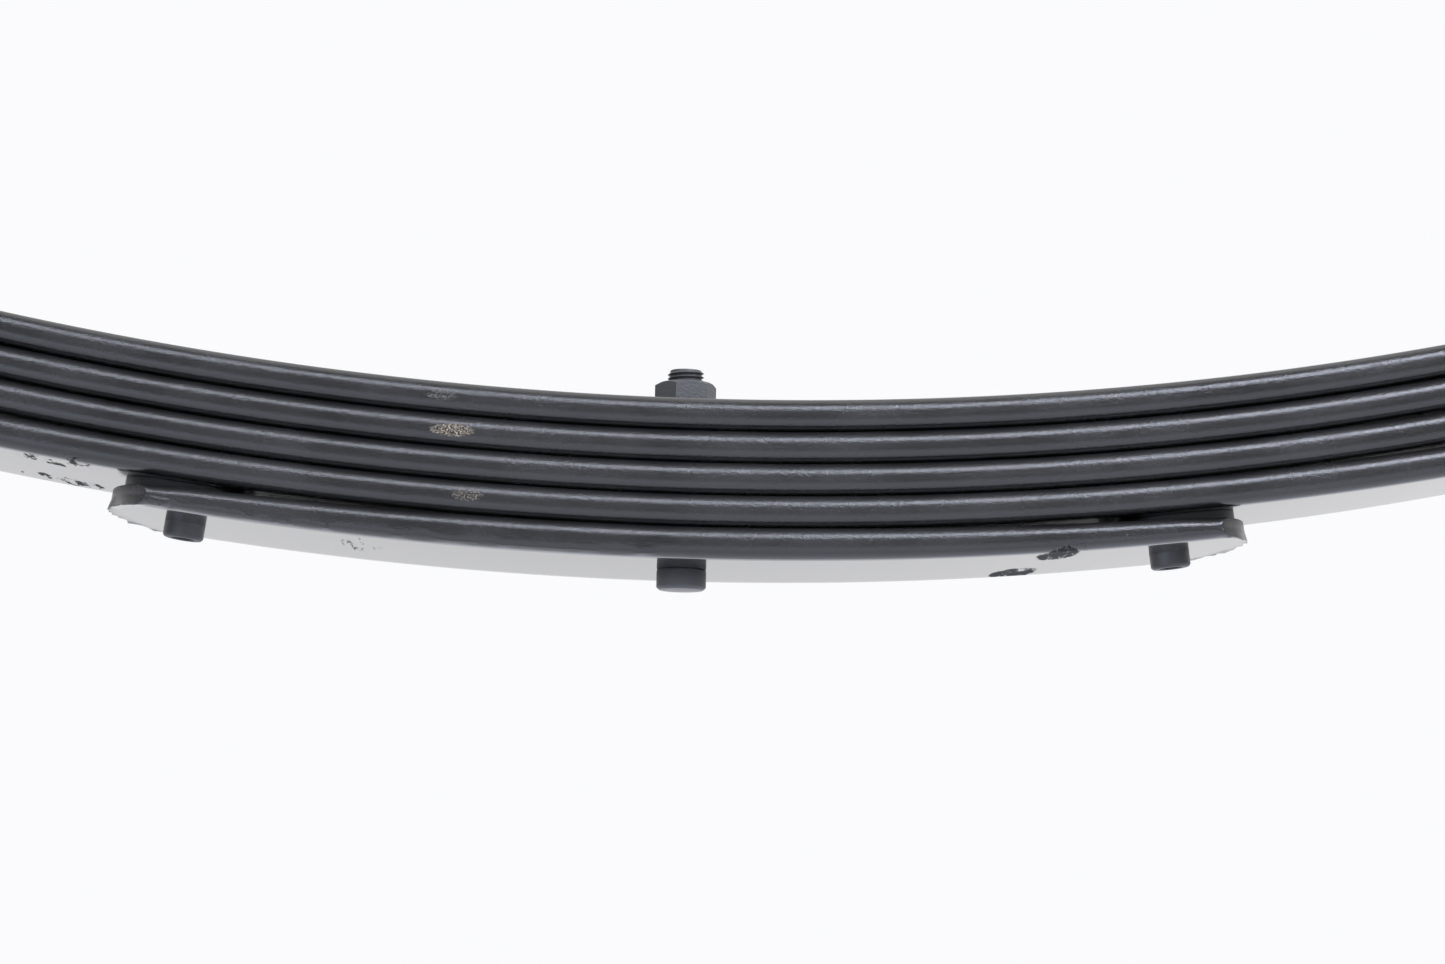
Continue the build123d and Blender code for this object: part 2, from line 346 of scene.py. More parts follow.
@dataclass(frozen=True)
class HexBlock:
    """A hexagon standing on Z 0, for a nut or a bolt head, with its corners turned off at 30 degrees.

    Attributes:
        flats: width across its flats.
        height: its height.
        bore: radius of the hole through it, or 0 for a head.
        face_share: radius of its flat face as a share of half the width across flats.
        slope: how steeply its corners are turned off.
    """

    flats: float
    height: float
    bore: float = 0.0
    face_share: float = 0.95
    slope: float = math.tan(math.radians(30.0))

    def build(self) -> bmesh.types.BMesh:
        """Makes the hexagon from rings bridged to one another.

        Returns:
            Its mesh.
        """
        bm = bmesh.new()
        face = self.flats / 2 * self.face_share
        rings = [(self._round(face), 0.0, 0.0), (self._hexagon, 0.0, self.slope)]
        rings += [(self._hexagon, self.height, -self.slope), (self._round(face), self.height, 0.0)]
        if self.bore:
            sink = min(0.6, self.height / 8)
            rings.append((self._round(self.bore + sink), self.height, 0.0))
            rings.append((self._round(self.bore), self.height - sink, 0.0))
            rings.append((self._round(self.bore), sink, 0.0))
            rings.append((self._round(self.bore + sink), 0.0, 0.0))
        loops = [self._ring(bm, outline, height, rise, face) for outline, height, rise in rings]
        pairs = list(zip(loops, loops[1:]))
        if self.bore:
            pairs.append((loops[-1], loops[0]))
        for low, high in pairs:
            bmesh.ops.bridge_loops(bm, edges=low + high)
        if not self.bore:
            bmesh.ops.holes_fill(bm, edges=loops[0] + loops[-1], sides=0)
        return bm

    def _round(self, radius: float) -> Callable[[float], float]:
        """A circle as an outline: the same radius at any angle."""
        return lambda angle: radius

    def _hexagon(self, angle: float) -> float:
        """The hexagon as an outline: its radius at an angle."""
        sixth = math.pi / 3
        return self.flats / 2 / math.cos(angle % sixth - sixth / 2)

    def _ring(
        self,
        bm: bmesh.types.BMesh,
        outline: Callable[[float], float],
        height: float,
        rise: float,
        face: float,
    ) -> list[bmesh.types.BMEdge]:
        """Adds one ring of the hexagon, raised by its distance beyond the flat face."""
        verts = bmesh.ops.create_circle(bm, segments=60, radius=1.0)["verts"]
        for vert in verts:
            angle = math.atan2(vert.co.y, vert.co.x) + 1e-9
            radius = outline(angle)
            vert.co = (radius * math.cos(angle), radius * math.sin(angle), height + rise * (radius - face))
        return list({edge for vert in verts for edge in vert.link_edges})


@dataclass(frozen=True)
class Thread:
    """An external screw thread standing along Z.

    Attributes:
        radius: over its crests.
        pitch: from crest to crest.
        low: height where it starts.
        high: height of its end, which is turned to a chamfer.
        chamfer: size of that chamfer.
    """

    radius: float
    pitch: float
    low: float
    high: float
    chamfer: float = 0.7

    def build(self) -> bmesh.types.BMesh:
        """Makes the thread as a helix of one profile, cut flat at both ends.

        Returns:
            A closed mesh.
        """
        root = self.radius - 0.6134 * self.pitch
        steps = 40
        turns = math.ceil((self.high - self.low) / self.pitch) + 2
        shape = [(root, 0.0), (root, 0.12), (self.radius, 0.5), (self.radius, 0.62), (root, 1.0)]
        bm = bmesh.new()
        start = self.low - 1.5 * self.pitch
        verts = [bm.verts.new((r, 0.0, start + share * self.pitch)) for r, share in shape]
        edges = [bm.edges.new(pair) for pair in zip(verts, verts[1:])]
        bmesh.ops.spin(
            bm, geom=verts + edges, cent=(0.0, 0.0, 0.0), axis=(0.0, 0.0, 1.0),
            dvec=(0.0, 0.0, self.pitch / steps), angle=2 * math.pi * turns, steps=steps * turns,
        )
        bmesh.ops.remove_doubles(bm, verts=bm.verts, dist=2e-3)
        cut(bm, (0.0, 0.0, self.high), (0.0, 0.0, 1.0), clear=True)
        cut(bm, (0.0, 0.0, self.low), (0.0, 0.0, -1.0), clear=True)
        rims = edges_where(bm, lambda e: e.is_boundary)
        bmesh.ops.holes_fill(bm, edges=rims, sides=0)
        for vert in bm.verts:
            limit = self.radius - self.chamfer + (self.high - vert.co.z)
            across = math.hypot(vert.co.x, vert.co.y)
            if across > limit:
                vert.co.x *= limit / across
                vert.co.y *= limit / across
        return bm


def finish_piece(
    bm: bmesh.types.BMesh, name: str, finish: bpy.types.Material, crease: float = BAR_CREASE
) -> bpy.types.Object:
    """Turns a mesh in millimetres into a piece in metres.

    Args:
        bm: the mesh, which is used up.
        name: the piece's name.
        finish: its material.
        crease: degrees between faces above which an edge stays sharp.

    Returns:
        The piece.
    """
    bmesh.ops.remove_doubles(bm, verts=bm.verts, dist=1e-3)
    bmesh.ops.dissolve_degenerate(bm, dist=1e-4, edges=bm.edges)
    bmesh.ops.recalc_face_normals(bm, faces=bm.faces)
    bmesh.ops.scale(bm, vec=(MM, MM, MM), verts=bm.verts)
    for face in bm.faces:
        face.smooth = True
    for edge in bm.edges:
        edge.smooth = edge.calc_face_angle(math.pi) < math.radians(crease)
    mesh = bpy.data.meshes.new(name)
    bm.to_mesh(mesh)
    bm.free()
    mesh.materials.append(finish)
    piece = bpy.data.objects.new(name, mesh)
    bpy.context.scene.collection.objects.link(piece)
    log.info("%s: %d faces", name, len(mesh.polygons))
    return piece


def ride_blend(piece: bpy.types.Object) -> None:
    """Bakes a piece's placement into its mesh."""
    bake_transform(piece)


@cache
def box_mm(node: str) -> tuple[Vector, Vector]:
    """A node's lowest and highest corners, in millimetres."""
    low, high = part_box(node)
    return low / MM, high / MM


# ---------------------------------------------------------------- finishes


def linear(colour: str) -> tuple[float, float, float, float]:
    """Turns an sRGB hex colour to linear red, green, blue and alpha."""
    shares = [int(colour[place : place + 2], 16) / 255 for place in (1, 3, 5)]
    light = [s / 12.92 if s <= 0.04045 else ((s + 0.055) / 1.055) ** 2.4 for s in shares]
    return light[0], light[1], light[2], 1.0


def per_metre(size: float) -> float:
    """The scale of a pattern whose features are that many millimetres across."""
    return 1.0 / (size * MM)


def node(
    tree: bpy.types.NodeTree, kind: str, inputs: dict[str | int, object] | None = None, **settings: object
) -> bpy.types.Node:
    """Adds a node with its settings and links.

    Args:
        tree: where it goes.
        kind: its type, without the leading ShaderNode.
        inputs: for each input, by name or number, its value or the socket that feeds it.
        settings: its properties.

    Returns:
        The node.
    """
    made = tree.nodes.new(f"ShaderNode{kind}")
    for name, value in settings.items():
        setattr(made, name, value)
    for key, value in (inputs or {}).items():
        if isinstance(value, bpy.types.NodeSocket):
            tree.links.new(value, made.inputs[key])
        else:
            made.inputs[key].default_value = value
    return made


def ramp(
    tree: bpy.types.NodeTree, share: bpy.types.NodeSocket, stops: Sequence[tuple[float, str]]
) -> bpy.types.NodeSocket:
    """Turns a share into a colour.

    Args:
        tree: where the ramp goes.
        share: what it reads.
        stops: places and their colours.

    Returns:
        The colour's socket.
    """
    made = node(tree, "ValToRGB", {0: share})
    steps = made.color_ramp.elements
    while len(steps) < len(stops):
        steps.new(0.5)
    for step, (place, colour) in zip(steps, stops):
        step.position = place
        step.color = linear(colour)
    return made.outputs["Color"]


def level(
    tree: bpy.types.NodeTree,
    value: bpy.types.NodeSocket,
    low: float,
    high: float,
    to: tuple[float, float] = (0.0, 1.0),
) -> bpy.types.NodeSocket:
    """Maps a value from one range to another, easing at both ends.

    Args:
        tree: where the node goes.
        value: what it reads.
        low: value that gives the first result.
        high: value that gives the last one.
        to: the two results.

    Returns:
        The result's socket.
    """
    inputs = {"Value": value, "From Min": low, "From Max": high, "To Min": to[0], "To Max": to[1]}
    return node(tree, "MapRange", inputs, interpolation_type="SMOOTHSTEP").outputs["Result"]


def noise_value(
    tree: bpy.types.NodeTree,
    place: bpy.types.NodeSocket,
    size: float,
    detail: float = 2.0,
    roughness: float = 0.5,
) -> bpy.types.NodeSocket:
    """Makes noise whose features are of a real size.

    Args:
        tree: where the node goes.
        place: the coordinates it reads.
        size: how many millimetres its features are across.
        detail: how many finer layers lie on it.
        roughness: how strong each finer layer is.

    Returns:
        The noise's socket.
    """
    inputs = {"Vector": place, "Scale": per_metre(size), "Detail": detail, "Roughness": roughness}
    return node(tree, "TexNoise", inputs).outputs[0]


@dataclass(frozen=True)
class Mark:
    """A patch of damaged or dirty paint.

    Attributes:
        centre: its middle, in millimetres.
        reach: how far it spreads along, across and up.
        grain: size of its flecks along, across and up.
        cover: how much of it the flecks fill, from 0 to 1.
        colour: colour of the flecks.
        roughness: roughness of the flecks.
        rise: how far the flecks stand proud, in millimetres.
        detail: how many finer layers roughen the flecks' outlines.
        raggedness: how strong each of those layers is.
        core: share of the patch's depth at which the flecks are at their fullest.
        bare: threshold of the flecks where they cover nothing.
        gain: how far full cover lowers that threshold.
        edge: how wide the flecks' soft edges are.
    """

    centre: Point
    reach: Point
    grain: Point
    cover: float
    colour: str
    roughness: float = 0.6
    rise: float = -0.03
    detail: float = 6.0
    raggedness: float = 0.78
    core: float = 0.55
    bare: float = 0.72
    gain: float = 0.36
    edge: float = 0.045

    def mask(self, tree: bpy.types.NodeTree, place: bpy.types.NodeSocket) -> bpy.types.NodeSocket:
        """Where the flecks are.

        Args:
            tree: the material's nodes.
            place: Object coordinates.

        Returns:
            A socket that is 1 on the flecks and 0 elsewhere.
        """
        spread = {"Vector": place, "Location": Vector(self.centre) * MM, "Scale": Vector(self.reach) * MM}
        near = node(tree, "Mapping", spread, vector_type="TEXTURE").outputs[0]
        patch = node(tree, "TexGradient", {"Vector": near}, gradient_type="SPHERICAL").outputs["Fac"]
        fleck = {"Vector": place, "Scale": Vector(self.grain) * MM}
        fine = node(tree, "Mapping", fleck, vector_type="TEXTURE").outputs[0]
        ragged = {"Vector": fine, "Scale": 1.0, "Detail": self.detail, "Roughness": self.raggedness}
        rough = node(tree, "TexNoise", ragged).outputs[0]
        gate = level(tree, patch, 0.0, self.core)
        both = node(tree, "Math", {0: gate, 1: rough}, operation="MULTIPLY").outputs[0]
        threshold = self.bare - self.gain * self.cover
        return level(tree, both, threshold, threshold + self.edge)


@dataclass(frozen=True)
class Enamel:
    """Black chassis enamel, sprayed on hot-rolled spring steel: a satin charcoal film with fine orange peel.

    Attributes:
        name: the material's name.
        dark: the film's darker tone.
        light: its lighter tone.
        roughness: of its rippled surfaces.
        smooth: roughness of its undersides, where the wet film levelled out.
        peel: height of the orange peel in millimetres.
        coat: weight of the glossy top of the film on its undersides.
        marks: patches of damage and dirt.
        pass_size: size of the spray gun's thin and thick passes, in millimetres.
        ripple_size: size of the orange peel's ripples.
        overspray_size: size of the dry overspray on them.
        down: the upward part of the normal, between wholly an underside and not one at all.
        level_share: how much of the peel's height is left on an underside.
        coat_roughness: roughness of that glossy top.
        ior: index of refraction of the film.
    """

    name: str
    dark: str = "#0f0f0f"
    light: str = "#1a1a1a"
    roughness: float = 0.25
    smooth: float = 0.11
    peel: float = 0.075
    coat: float = 0.2
    marks: tuple[Mark, ...] = ()
    pass_size: float = 26.0
    ripple_size: float = 0.75
    overspray_size: float = 0.36
    down: tuple[float, float] = (-0.85, -0.55)
    level_share: float = 0.03
    coat_roughness: float = 0.04
    ior: float = 1.52

    def make(self) -> bpy.types.Material:
        """Makes the material.

        Returns:
            The material.
        """
        material, tree, shader = new_material(self.name)
        coordinate = node(tree, "TexCoord")
        place = coordinate.outputs["Object"]
        # Thin and thick passes of the spray gun
        passes = noise_value(tree, place, self.pass_size, 3.0)
        colour = ramp(tree, passes, [(0.3, self.dark), (0.7, self.light)])
        # Orange peel: ripples, with dry overspray of half their size on them
        ripples = noise_value(tree, place, self.ripple_size, 1.0)
        overspray = noise_value(tree, place, self.overspray_size, 2.0, 0.7)
        peel = node(tree, "Math", {0: ripples, 1: overspray}, operation="ADD").outputs[0]
        up = node(tree, "SeparateXYZ", {0: coordinate.outputs["Normal"]}).outputs["Z"]
        # The underside is level and glossy, so it mirrors what lies under it at a low angle
        rippled = level(tree, up, *self.down)
        swing = level(tree, passes, 0.25, 0.75, (self.roughness - 0.05, self.roughness + 0.06))
        gloss = node(
            tree, "Mix", {"Factor": rippled, 2: self.smooth, 3: swing}, data_type="FLOAT"
        ).outputs[0]
        coat = level(tree, up, *self.down, (self.coat, 0.0))
        swell = level(tree, up, *self.down, (self.level_share * self.peel, self.peel))
        height = node(tree, "Math", {0: peel, 1: swell}, operation="MULTIPLY").outputs[0]
        for mark in self.marks:
            mask = mark.mask(tree, place)
            raised = {0: mask, 1: mark.rise, 2: height}
            height = node(tree, "Math", raised, operation="MULTIPLY_ADD").outputs[0]
            bare = node(tree, "Math", {0: 1.0, 1: mask}, operation="SUBTRACT").outputs[0]
            coat = node(tree, "Math", {0: coat, 1: bare}, operation="MULTIPLY").outputs[0]
            mixed = node(tree, "Mix", {"Factor": mask, 6: colour, 7: linear(mark.colour)}, data_type="RGBA")
            colour = mixed.outputs[2]
            gloss = node(
                tree, "Mix", {"Factor": mask, 2: gloss, 3: mark.roughness}, data_type="FLOAT"
            ).outputs[0]
        bump = node(tree, "Bump", {"Height": height, "Distance": MM, "Strength": 1.0}).outputs[0]
        sockets = {"Base Color": colour, "Roughness": gloss, "Normal": bump}
        sockets |= {"Coat Weight": coat, "Coat Normal": bump}
        for key, socket in sockets.items():
            tree.links.new(socket, shader.inputs[key])
        shader.inputs["Coat Roughness"].default_value = self.coat_roughness
        shader.inputs["IOR"].default_value = self.ior
        return material


def new_material(name: str) -> tuple[bpy.types.Material, bpy.types.NodeTree, bpy.types.Node]:
    """A new material, its nodes and its Principled shader."""
    material = bpy.data.materials.new(name)
    material.use_nodes = True
    tree = material.node_tree
    return material, tree, tree.nodes["Principled BSDF"]


@dataclass(frozen=True)
class Grained:
    """A surface of one substance with a mottled colour, a varying gloss and a fine grain.

    Attributes:
        name: the material's name.
        dark: its darker tone.
        light: its lighter tone.
        mottle: size of the colour patches in millimetres.
        grain: size of its grain in millimetres, along, across and up.
        height: height of the grain in millimetres.
        gloss: its least and greatest roughness.
        metallic: 1 for bare metal, 0 for paint, plastic and rubber.
        ior: index of refraction of what isn't metal.
    """

    name: str
    dark: str
    light: str
    mottle: float
    grain: Point
    height: float
    gloss: tuple[float, float]
    metallic: float = 0.0
    ior: float = 1.5

    def make(self) -> bpy.types.Material:
        """Makes the material.

        Returns:
            The material.
        """
        material, tree, shader = new_material(self.name)
        place = node(tree, "TexCoord").outputs["Object"]
        patches = noise_value(tree, place, self.mottle, 3.0, 0.6)
        fine = node(
            tree, "Mapping", {"Vector": place, "Scale": Vector(self.grain) * MM}, vector_type="TEXTURE"
        ).outputs[0]
        grain = node(tree, "TexNoise", {"Vector": fine, "Scale": 1.0, "Detail": 2.0}).outputs[0]
        shader.inputs["Metallic"].default_value = self.metallic
        if not self.metallic:
            shader.inputs["IOR"].default_value = self.ior
        colour = ramp(tree, patches, [(0.32, self.dark), (0.68, self.light)])
        gloss = level(tree, patches, 0.3, 0.7, self.gloss)
        bump = node(tree, "Bump", {"Height": grain, "Distance": self.height * MM, "Strength": 1.0})
        for key, socket in {"Base Color": colour, "Roughness": gloss, "Normal": bump.outputs[0]}.items():
            tree.links.new(socket, shader.inputs[key])
        return material


# Faults of the leaves' paint: bare chips, rub marks, and grease smeared on the undersides
LEAF_MARKS = (
    Mark((-60.5, -31.9, 30.4), (10.5, 4.0, 3.0), (0.5, 0.5, 0.4), 0.58, "#94866f"),
    Mark((-63.4, -31.9, 39.3), (7.5, 4.0, 2.6), (0.42, 0.42, 0.34), 0.5, "#6d6860"),
    Mark((-56.3, -31.9, 14.2), (7.5, 4.0, 3.0), (0.42, 0.42, 0.34), 0.52, "#7c7263"),
    Mark((-28.3, -31.9, 28.2), (12.0, 4.0, 3.6), (0.28, 1.0, 2.6), 0.36, "#1b1c1f"),
    Mark((132.2, -31.9, 47.2), (3.0, 4.0, 1.6), (0.7, 0.7, 0.5), 0.5, "#111214"),
    Mark((176.1, -31.9, 55.1), (4.0, 4.0, 2.0), (0.8, 0.8, 0.5), 0.5, "#111214"),
    Mark((100.6, -31.5, 5.4), (4.2, 5.0, 2.4), (0.9, 0.9, 0.7), 0.55, "#0c0c0d"),
    Mark((112.5, -31.9, 8.2), (7.5, 4.0, 2.6), (1.3, 1.3, 0.9), 0.42, "#26272a"),
    Mark((91.0, 20.0, 4.1), (12.0, 20.0, 4.0), (2.6, 16.0, 2.0), 0.78, "#050506", 1.0, 0.6),
    Mark((96.0, -21.0, 4.5), (9.0, 20.0, 4.0), (2.4, 15.0, 2.0), 0.80, "#050506", 1.0, 0.6),
    Mark((-83.0, -8.0, 3.5), (11.0, 34.0, 4.0), (4.0, 30.0, 2.0), 0.50, "#1a1a1c", 0.9, 0.3),
    Mark((-160.0, -22.0, 20.5), (26.0, 16.0, 5.0), (5.0, 20.0, 3.0), 0.62, "#101012", 1.0, 0.4),
    Mark((-163.0, 20.0, 21.5), (26.0, 16.0, 5.0), (4.5, 18.0, 3.0), 0.58, "#101012", 1.0, 0.4),
)


class Palette:
    """The spring's finishes, one material each."""

    def __init__(self) -> None:
        """Makes every material."""
        self.leaf = Enamel("sprayed_chassis_enamel", marks=LEAF_MARKS).make()
        # The same enamel over a zinc-plated bolt and nut: flatter, from a dry, dusty coat
        self.fastener = Enamel("sprayed_enamel_on_fasteners", "#2f2f2f", "#39393a", 0.46, 0.4, 0.06).make()
        # Black polyamide, injection moulded: a dull, even black with a fine spark-eroded grain
        self.liner = Grained(
            "moulded_polyamide", "#141415", "#1d1d1e", 9.0, (0.25, 0.25, 0.25), 0.006, (0.34, 0.48), ior=1.53
        ).make()
        # Enamel on bent mild-steel strap, a little glossier than on the leaves
        self.clip = Enamel("sprayed_enamel_on_straps", "#111112", "#1a1a1b", 0.26, 0.26, 0.12).make()
        # Zinc plate with a clear chromate: cool grey metal with a faint mottle
        self.clip_fastener = Grained(
            "zinc_plated_steel", "#7c8188", "#989ca1", 3.0, (0.3, 0.3, 0.3), 0.003, (0.26, 0.42), 1.0
        ).make()
        # Phosphated tube: dark grey, dry and slightly rough
        self.shell = Grained(
            "phosphated_steel_tube", "#3b3c3e", "#525355", 4.0, (0.35, 0.35, 0.35), 0.006, (0.45, 0.6), 1.0
        ).make()
        # Natural rubber with carbon black, moulded: deep matt black that greys where it has bloomed
        self.rubber = Grained(
            "moulded_natural_rubber", "#101011", "#1c1c1d", 6.0, (0.5, 0.5, 0.5), 0.012, (0.62, 0.78),
            ior=1.52,
        ).make()
        # Turned steel sleeve, zinc plated: brighter metal with fine turning marks round its ends
        self.sleeve = Grained(
            "zinc_plated_turned_steel", "#8d9196", "#a9acb0", 5.0, (0.8, 0.12, 0.8), 0.002, (0.2, 0.34), 1.0
        ).make()


# ---------------------------------------------------------------- the spring


@dataclass(frozen=True)
class BarStock:
    """The rolled bar that every leaf is cut from, and what the graduated leaves have in common.

    Attributes:
        width: across, along Y.
        thickness: of the bar.
        edge_round: radius of its long edges.
        belly: how far its sides swell at half height.
        bolt_hole: radius of the hole for the centre bolt.
        stem_hole: radius of the hole for a liner's stem.
        taper_length: how long the thinned end of a leaf is.
        tip_set_back: how far a tip's corners stand back from its crown.
        tip_ramp: the length over which the round tip gives way to straight bar.
        stem_inset: from a tip's crown to the middle of its stem.
        liner_thickness: of a liner's plate at its stem.
        leaf_gap: between two leaves at the centre bolt.
        station: spacing of a leaf's cross-sections.
        fine_station: their spacing where paint ran along the edge.
    """

    width: float = 63.5
    thickness: float = 8.2
    edge_round: float = 3.2
    belly: float = 0.22
    bolt_hole: float = 5.1
    stem_hole: float = 5.35
    taper_length: float = 129.0
    tip_set_back: float = 11.7
    tip_ramp: float = 26.0
    stem_inset: float = 19.5
    liner_thickness: float = 2.0
    leaf_gap: float = 0.02
    station: float = 2.4
    fine_station: float = 1.2


STOCK = BarStock()
# Radius of each graduated leaf's underside, from the lowest leaf up
LEAF_RADII = (("short", 1014.0), ("fourth", 1030.0), ("third", 995.0), ("second", 967.0))
PAINT_RUN = 0.8  # height of the run of paint on the short leaf
CLIP_ARC = 330.0  # from the centre bolt to a rebound clip's rivet, along the third leaf


@dataclass(frozen=True)
class Leaf:
    """A graduated leaf: a round-tipped bar with long tapers.

    Attributes:
        name: its CAD node.
        radius: of its underside.
        radius_above: of the underside of the leaf on top of it.
        paint_run: height of the run of paint along its lower front edge.
        clip_arc: arc length from the bolt to its rivet hole, or 0.
        rivet_hole: radius of that hole.
    """

    name: str
    radius: float
    radius_above: float
    paint_run: float = 0.0
    clip_arc: float = 0.0
    rivet_hole: float = 4.1

    @property
    def low_point(self) -> float:
        """Height of its underside at the centre bolt."""
        return box_mm(self.name)[0].z

    @property
    def reach(self) -> float:
        """Arc length from the bolt to the crown of its tip."""
        return self.radius * math.asin(box_mm(self.name)[1].x / self.radius)

    @property
    def track(self) -> Track:
        """The arc of its underside."""
        return Track((0.0, self.low_point), 0.0, ((self.reach, 1 / self.radius),))

    def opening(self, travel: float) -> float:
        """The gap above it that far along, from the leaves' unequal curvature."""
        curve = 1 / self.radius_above - 1 / (self.radius - STOCK.thickness)
        return STOCK.leaf_gap + travel**2 / 2 * curve

    def thinned(self, travel: float) -> float:
        """How much thinner the bar is that far along, so that a liner fills the gap above its stem."""
        start = self.reach - STOCK.taper_length
        share = max(travel - start, 0.0) / (STOCK.taper_length - STOCK.stem_inset)
        return (STOCK.liner_thickness - self.opening(self.reach - STOCK.stem_inset)) * share**2

    def build(self, end: End) -> bmesh.types.BMesh:
        """Makes one half of the leaf, from the centre bolt to a tip.

        Args:
            end: which half.

        Returns:
            Its mesh.
        """
        bar = Bar(
            self.reach, STOCK.width, STOCK.thickness, STOCK.edge_round, columns=22,
            station=STOCK.fine_station if self.paint_run else STOCK.station, belly=STOCK.belly,
        )
        holes = [(0.0, 0.0, STOCK.bolt_hole), (self.reach - STOCK.stem_inset, 0.0, STOCK.stem_hole)]
        if self.clip_arc:
            holes.append((self.clip_arc, 0.0, self.rivet_hole))
        bm = drilled(bar.build(), holes, STOCK.thickness)
        self._shape_tip(bm, end)
        self.track.bend(bm)
        if end is End.FRONT:
            bmesh.ops.scale(bm, vec=(-1.0, 1.0, 1.0), verts=bm.verts)
        return bm

    def _shape_tip(self, bm: bmesh.types.BMesh, end: End) -> None:
        """Thins the bar's end, rounds its tip in plan and lets the paint gather on its lower edges."""
        half, set_back = STOCK.width / 2, STOCK.tip_set_back
        tip_radius = (half * half + set_back * set_back) / (2 * set_back)
        for vert in bm.verts:
            travel, across, height = vert.co
            thickness = STOCK.thickness - self.thinned(travel)
            vert.co.z = height * thickness / STOCK.thickness
            ramp_share = smooth_step((travel - self.reach + STOCK.tip_ramp) / STOCK.tip_ramp)
            inside = min(abs(across), half + STOCK.belly)
            fall = tip_radius - math.sqrt(tip_radius**2 - inside**2)
            vert.co.x -= fall * ramp_share
            self._gather_paint(vert, travel, end)

    def _gather_paint(self, vert: bmesh.types.BMVert, travel: float, end: End) -> None:
        """Moves a point of the lower edge out by the paint that ran and dried there."""
        if not self.paint_run:
            return
        at_tip = smooth_step((travel - self.reach + 2.5) / 2.0)
        low = smooth_step((2.6 - vert.co.z) / 1.6)
        near = smooth_step((-vert.co.y - STOCK.width / 2 + 2.2) / 1.6)
        drops = noise.noise(Vector((vert.co.x / 1.7, vert.co.y / 1.7, end.sign * 7.0)))
        if at_tip > 0:
            swell = self.paint_run * at_tip * low * max(0.0, 0.3 + 1.6 * drops)
            vert.co.x += swell
            vert.co.z -= 0.6 * swell
        if end is End.FRONT:
            wave = noise.noise(Vector((travel / 7.0, 3.7, 1.1)))
            wave += 0.5 * noise.noise(Vector((travel / 2.3, 8.1, 2.2)))
            swell = self.paint_run * low * near * max(0.0, 0.45 + 0.9 * wave)
            vert.co.y -= 0.7 * swell
            vert.co.z -= 0.5 * swell

    def dress(self, palette: Palette) -> None:
        """Makes both halves."""
        for end in End:
            name = f"{self.name}_{end.value}_half"
            piece = finish_piece(self.build(end), name, palette.leaf)
            ride_blend(piece)
            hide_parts(self.name)


@dataclass(frozen=True)
class TipLiner:
    """A moulded liner at a leaf's tip: a plate in the gap above it, with a hollow stem down through it.

    Attributes:
        leaf: the leaf that its stem goes through.
        tag: the leaf's name in the liner's own.
        bends: whether it lies where the leaves bend.
        length: of its plate, along the leaf.
        width: of its plate.
        corner: radius of its plate's corners.
        stem_radius: outside radius of its stem.
        bore_radius: radius of the hollow in its stem.
        proud: how far its stem stands out under the leaf.
        chamfer: size of the chamfer round its stem's end.
    """

    leaf: Leaf
    tag: str
    bends: bool
    length: float = 31.0
    width: float = 48.0
    corner: float = 12.0
    stem_radius: float = 5.25
    bore_radius: float = 3.1
    proud: float = 4.0
    chamfer: float = 0.8

    def build(self) -> bmesh.types.BMesh:
        """Makes the liner for the rear tip.

        Returns:
            Its mesh.
        """
        middle = self.leaf.reach - STOCK.stem_inset
        plate = bmesh.new()
        bmesh.ops.create_cube(plate, size=1.0)
        bmesh.ops.scale(plate, vec=(self.length, self.width, 1.0), verts=plate.verts)
        upright = edges_where(plate, lambda e: abs(e.verts[0].co.z - e.verts[1].co.z) > 0.5)
        round_edges(plate, upright, self.corner, 12)
        rim = edges_where(plate, lambda e: e.calc_face_angle(0.0) > 1.0)
        round_edges(plate, rim, 0.12, 2)
        for step in range(-6, 7):
            cut(plate, (self.length / 14 * step, 0.0, 0.0), (1.0, 0.0, 0.0))
        bmesh.ops.translate(plate, vec=(middle, 0.0, 0.5), verts=plate.verts)
        for vert in plate.verts:
            thin = self.leaf.thinned(vert.co.x)
            gap = self.leaf.opening(vert.co.x) + thin - 0.02
            vert.co.z = STOCK.thickness - thin + 0.01 + vert.co.z * gap
        inner = STOCK.thickness - self.leaf.thinned(middle)
        face = self.stem_radius - self.chamfer
        stem = turned([
            (0.0, STOCK.thickness / 2), (self.bore_radius, STOCK.thickness / 2),
            (self.bore_radius, 0.25 - self.proud), (self.bore_radius + 0.25, -self.proud),
            (face, -self.proud), (face + 0.35, 0.12 - self.proud),
            (self.stem_radius - 0.12, 0.5 - self.proud), (self.stem_radius, self.chamfer - self.proud),
            (self.stem_radius, inner + 1.0), (0.0, inner + 1.0),
        ])
        bmesh.ops.translate(stem, vec=(middle, 0.0, 0.0), verts=stem.verts)
        bm = combine(plate, stem, "UNION")
        self.leaf.track.bend(bm)
        return bm

    def dress(self, palette: Palette) -> None:
        """Makes the liner for both tips."""
        for end in End:
            bm = self.build()
            bmesh.ops.scale(bm, vec=(float(end.sign), 1.0, 1.0), verts=bm.verts)
            node_name = f"{end.value}_{self.tag}_liner"
            piece = finish_piece(bm, f"{node_name}_moulding", palette.liner)
            if self.bends:
                ride_blend(piece)
            else:
                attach(piece, end.half)
            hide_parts(node_name)


